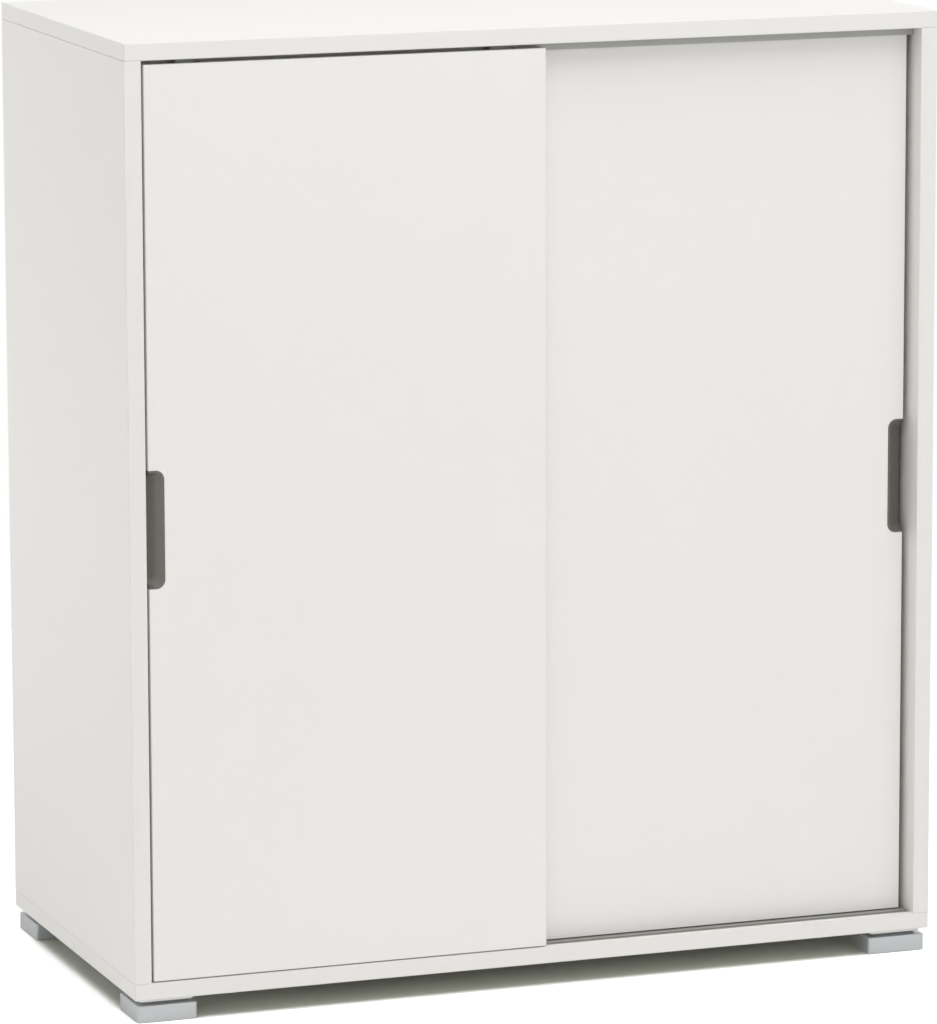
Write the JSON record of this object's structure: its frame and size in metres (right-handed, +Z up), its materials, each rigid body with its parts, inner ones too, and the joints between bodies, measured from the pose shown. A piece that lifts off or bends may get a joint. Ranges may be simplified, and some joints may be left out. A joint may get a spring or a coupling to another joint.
{
  "type": "sliding door cabinet",
  "caption": "White floor cabinet on low square feet, with bypassing sliding doors on twin-channel tracks, recessed edge pulls, a partition and shelves.",
  "frame": {"origin": "on the floor, under the centre of the carcass", "axes": "+X to the right, +Y to the back (the doors face -Y), +Z up"},
  "size_m": [0.8, 0.4, 0.91],
  "materials": {
    "white_board": "white melamine-faced board, satin",
    "door_board": "white melamine-faced board, satin",
    "back_board": "white lacquered hardboard",
    "pull_metal": "dark grey, satin",
    "track_metal": "satin anodised",
    "foot_block": "silver-grey, satin",
    "foot_plate": "grey",
    "fitting_plastic": "dark grey, moulded",
    "wheel_plastic": "natural white, moulded",
    "steel": "zinc plated"
  },
  "bodies": {
    "root": {"top_panel": "white_board", "bottom_panel": "white_board", "left_side_panel": "white_board", "right_side_panel": "white_board", "centre_partition": "white_board", "back_panel": "back_board", "left_lower_shelf": "white_board", "left_upper_shelf": "white_board", "right_lower_shelf": "white_board", "right_upper_shelf": "white_board", "left_lower_front_left_pin": "steel", "left_lower_front_right_pin": "steel", "left_lower_rear_left_pin": "steel", "left_lower_rear_right_pin": "steel", "left_upper_front_left_pin": "steel", "left_upper_front_right_pin": "steel", "left_upper_rear_left_pin": "steel", "left_upper_rear_right_pin": "steel", "right_lower_front_left_pin": "steel", "right_lower_front_right_pin": "steel", "right_lower_rear_left_pin": "steel", "right_lower_rear_right_pin": "steel", "right_upper_front_left_pin": "steel", "right_upper_front_right_pin": "steel", "right_upper_rear_left_pin": "steel", "right_upper_rear_right_pin": "steel", "top_track": "track_metal", "bottom_track": "track_metal", "front_left_foot_block": "foot_block", "front_right_foot_block": "foot_block", "rear_left_foot_block": "foot_block", "rear_right_foot_block": "foot_block", "front_left_foot_plate": "foot_plate", "front_right_foot_plate": "foot_plate", "rear_left_foot_plate": "foot_plate", "rear_right_foot_plate": "foot_plate"},
    "left_door": {"left_door_panel": "door_board", "left_door_pull": "pull_metal", "left_door_left_roller_housing": "fitting_plastic", "left_door_right_roller_housing": "fitting_plastic", "left_door_left_axle": "steel", "left_door_right_axle": "steel", "left_door_left_guide": "fitting_plastic", "left_door_right_guide": "fitting_plastic"},
    "left_door_left_wheel": {"left_door_left_wheel": "wheel_plastic"},
    "left_door_right_wheel": {"left_door_right_wheel": "wheel_plastic"},
    "right_door": {"right_door_panel": "door_board", "right_door_pull": "pull_metal", "right_door_left_roller_housing": "fitting_plastic", "right_door_right_roller_housing": "fitting_plastic", "right_door_left_axle": "steel", "right_door_right_axle": "steel", "right_door_left_guide": "fitting_plastic", "right_door_right_guide": "fitting_plastic"},
    "right_door_left_wheel": {"right_door_left_wheel": "wheel_plastic"},
    "right_door_right_wheel": {"right_door_right_wheel": "wheel_plastic"}
  },
  "joints": [
    {"name": "left_door_slide", "type": "slide", "parent": "root", "child": "left_door", "axis": [1, 0, 0], "range_m": [0, 0.377]},
    {"name": "right_door_slide", "type": "slide", "parent": "root", "child": "right_door", "axis": [1, 0, 0], "range_m": [-0.374, 0]},
    {"name": "left_door_left_wheel_roll", "type": "hinge", "parent": "left_door", "child": "left_door_left_wheel", "pos_m": [-0.3395, -0.1875, 0.046], "axis": [0, 1, 0], "range_deg": [0, 1964]},
    {"name": "left_door_right_wheel_roll", "type": "hinge", "parent": "left_door", "child": "left_door_right_wheel", "pos_m": [-0.0355, -0.1875, 0.046], "axis": [0, 1, 0], "range_deg": [0, 1964]},
    {"name": "right_door_left_wheel_roll", "type": "hinge", "parent": "right_door", "child": "right_door_left_wheel", "pos_m": [0.0325, -0.1665, 0.046], "axis": [0, 1, 0], "range_deg": [-1949, 0]},
    {"name": "right_door_right_wheel_roll", "type": "hinge", "parent": "right_door", "child": "right_door_right_wheel", "pos_m": [0.3365, -0.1665, 0.046], "axis": [0, 1, 0], "range_deg": [-1949, 0]}
  ],
  "couplings": [
    {"joint": "left_door_left_wheel_roll", "follows": "left_door_slide", "rad_per_m": 90.909},
    {"joint": "left_door_right_wheel_roll", "follows": "left_door_slide", "rad_per_m": 90.909},
    {"joint": "right_door_left_wheel_roll", "follows": "right_door_slide", "rad_per_m": 90.909},
    {"joint": "right_door_right_wheel_roll", "follows": "right_door_slide", "rad_per_m": 90.909}
  ]
}
